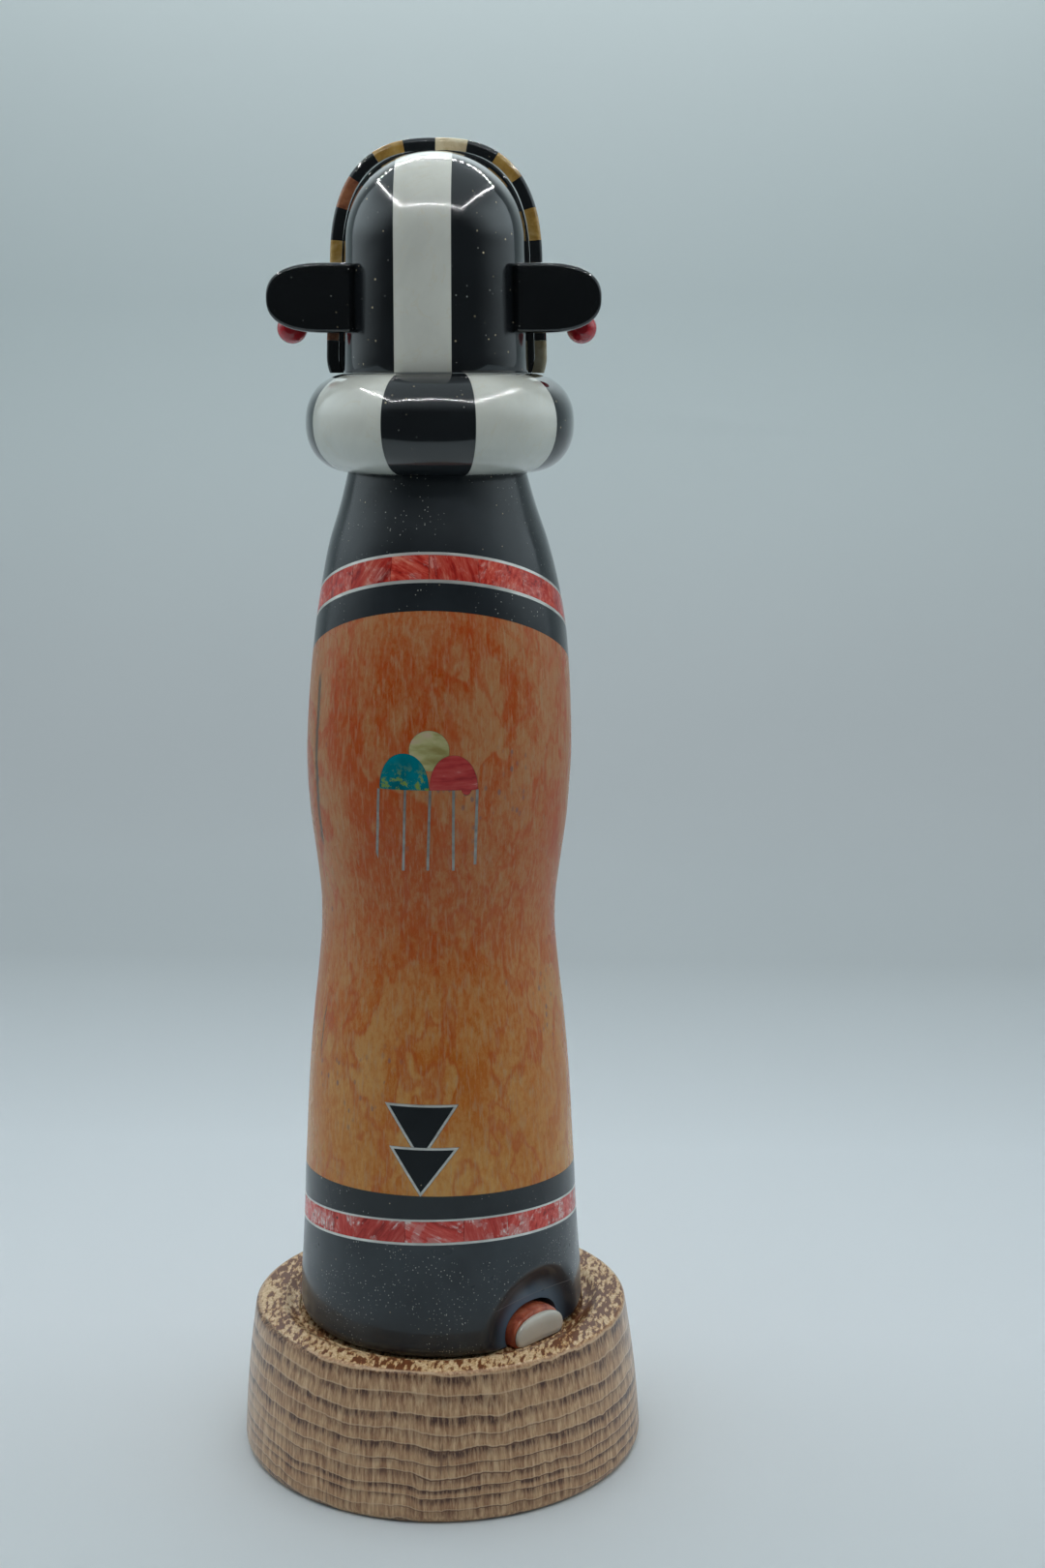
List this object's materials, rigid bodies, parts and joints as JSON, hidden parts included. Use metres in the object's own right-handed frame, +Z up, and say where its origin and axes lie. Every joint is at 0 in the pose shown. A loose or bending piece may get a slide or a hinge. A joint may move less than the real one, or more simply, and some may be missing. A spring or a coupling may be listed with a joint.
{
  "type": "carved and inlaid stone figure",
  "caption": "Standing stone figure with inlaid bands, a cloud-and-rain panel, a ruff, a domed head with ears, and a turned wooden base.",
  "frame": {"origin": "centre of the base's underside, which stands on the surface", "axes": "+Z up, +Y towards the figure's front (its face), +X to the right when seen from its back"},
  "size_m": [0.0954, 0.0954, 0.3042],
  "materials": {
    "apricot_stone": "gloss",
    "black_stone": "polished",
    "coral_bead": "polished",
    "cream_stone": "gloss",
    "gold_stone": "gloss",
    "moccasin_stone": "gloss",
    "oak": "gloss",
    "orange_stone": "gloss",
    "pearl_shell": "polished",
    "red_stone": "gloss",
    "silver": "satin",
    "turquoise": "gloss",
    "white_stone": "polished"
  },
  "bodies": {
    "root": {"base": "oak", "skirt": "black_stone", "hem_strip_lower": "silver", "hem_stone_band": "red_stone", "hem_strip_upper": "silver", "hem_black_band": "black_stone", "robe": "orange_stone", "collar_black_band": "black_stone", "collar_strip_lower": "silver", "collar_stone_band": "red_stone", "collar_strip_upper": "silver", "shoulders": "black_stone", "moccasin_right": "moccasin_stone", "sole_right": "white_stone", "moccasin_left": "moccasin_stone", "sole_left": "white_stone", "cloud_left": "turquoise", "cloud_right": "red_stone", "cloud_top": "pearl_shell", "triangle_lower": "black_stone", "triangle_upper": "black_stone", "head_back_left": "black_stone", "head_back_stripe": "white_stone", "head_back_right": "black_stone", "face_plate": "black_stone", "eye_left": "white_stone", "eye_right": "white_stone", "mouth": "red_stone", "ear_left": "black_stone", "ear_bead_left": "coral_bead", "ear_right": "black_stone", "ear_bead_right": "coral_bead", "ruff_stone_1": "black_stone", "ruff_stone_2": "white_stone", "ruff_stone_3": "black_stone", "ruff_stone_4": "white_stone", "ruff_stone_5": "black_stone", "ruff_stone_6": "white_stone", "ruff_stone_7": "black_stone", "ruff_stone_8": "white_stone", "rim_stone_01": "black_stone", "rim_stone_02": "apricot_stone", "rim_stone_03": "black_stone", "rim_stone_04": "gold_stone", "rim_stone_05": "black_stone", "rim_stone_06": "apricot_stone", "rim_stone_07": "black_stone", "rim_stone_08": "gold_stone", "rim_stone_09": "black_stone", "rim_stone_10": "cream_stone", "rim_stone_11": "black_stone", "rim_stone_12": "gold_stone", "rim_stone_13": "black_stone", "rim_stone_14": "cream_stone", "rim_stone_15": "black_stone", "rim_stone_16": "gold_stone", "rim_stone_17": "black_stone", "rim_stone_18": "cream_stone"}
  },
  "joints": []
}
